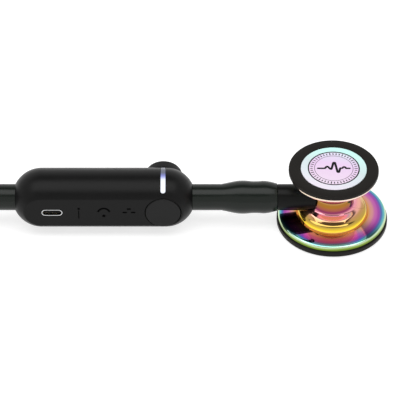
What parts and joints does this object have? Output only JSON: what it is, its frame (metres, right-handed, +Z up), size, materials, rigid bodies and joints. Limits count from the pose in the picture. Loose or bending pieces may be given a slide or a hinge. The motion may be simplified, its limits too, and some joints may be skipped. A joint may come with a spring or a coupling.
{
  "type": "electronic stethoscope",
  "caption": "Stethoscope with a double-sided chestpiece on a swivelling stem, an in-line amplifier module and a sprung headset, lying flat.",
  "frame": {"origin": "centre of the large diaphragm's face, on the surface that the stethoscope lies on", "axes": "+Z up along the chestpiece's axis from the large side to the small side, +X along the stem from the headset towards the chestpiece, +Y completes the set"},
  "size_m": [0.6864, 0.1134, 0.0298],
  "materials": {
    "rainbow_metal": "mirror polished steel with a rainbow vapour coating",
    "soft_black": "satin moulded rim",
    "diaphragm_film": "glossy pearl film with fine printed rings",
    "black_stem": "satin black coated metal",
    "tubing": "smooth flexible tubing with a soft sheen",
    "matte_shell": "fine matte texture",
    "button_plastic": "matte, slightly smoother than the shell",
    "dark_plastic": "dark moulded plastic",
    "port_steel": "bright drawn shell",
    "steel": "plain steel",
    "light_plastic": "translucent light guide",
    "circuit_board": "green solder mask",
    "cell_foil": "foil pouch",
    "ear_tip_rubber": "soft silicone"
  },
  "bodies": {
    "module": {"stem": "black_stem", "stem_seal": "tubing", "stem_clip": "steel", "chest_tube": "tubing", "main_tube": "tubing", "module_top_shell": "matte_shell", "module_bottom_cover": "matte_shell", "cover_gasket": "tubing", "cover_screws": "steel", "main_board": "circuit_board", "board_chips": "dark_plastic", "battery": "cell_foil", "microphone": "steel", "speaker": "steel", "mic_nozzle": "dark_plastic", "speaker_nozzle": "dark_plastic", "usb_shell": "port_steel", "usb_tongue": "dark_plastic", "button_switch": "dark_plastic", "volume_encoder": "dark_plastic", "light_guide": "light_plastic", "status_light": "light_plastic", "symbol_inserts": "dark_plastic", "y_hub": "tubing", "leaf_spring": "steel"},
    "chestpiece": {"chest_body": "rainbow_metal", "large_rim": "soft_black", "large_diaphragm": "diaphragm_film", "small_rim": "soft_black", "small_diaphragm": "diaphragm_film", "hub_plug": "rainbow_metal", "detent_ball": "steel", "detent_spring": "steel", "detent_screw": "steel"},
    "button": {"front_button": "button_plastic"},
    "knob": {"rear_knob": "button_plastic", "encoder_shaft": "steel"},
    "left_ear": {"left_arm": "tubing", "left_ear_tube": "black_stem", "left_ear_tip": "ear_tip_rubber"},
    "right_ear": {"right_arm": "tubing", "right_ear_tube": "black_stem", "right_ear_tip": "ear_tip_rubber"}
  },
  "joints": [
    {"name": "chestpiece_swivel", "type": "hinge", "parent": "module", "child": "chestpiece", "pos_m": [0, 0, 0.0137], "axis": [1, 0, 0], "continuous": true},
    {"name": "button_press", "type": "slide", "parent": "module", "child": "button", "axis": [0, 1, 0], "range_m": [0, 0.0007], "stiffness_N_per_m": 2500},
    {"name": "volume_turn", "type": "hinge", "parent": "module", "child": "knob", "pos_m": [-0.07245, 0.0125, 0.0137], "axis": [0, 1, 0], "range_deg": [-135, 135]},
    {"name": "left_ear_spread", "type": "hinge", "parent": "module", "child": "left_ear", "pos_m": [-0.432, 0.0065, 0.0063], "axis": [0, 0, -1], "range_deg": [0, 15], "stiffness_Nm_per_rad": 4},
    {"name": "right_ear_spread", "type": "hinge", "parent": "module", "child": "right_ear", "pos_m": [-0.432, -0.0065, 0.0063], "axis": [0, 0, 1], "range_deg": [0, 15], "stiffness_Nm_per_rad": 4}
  ]
}
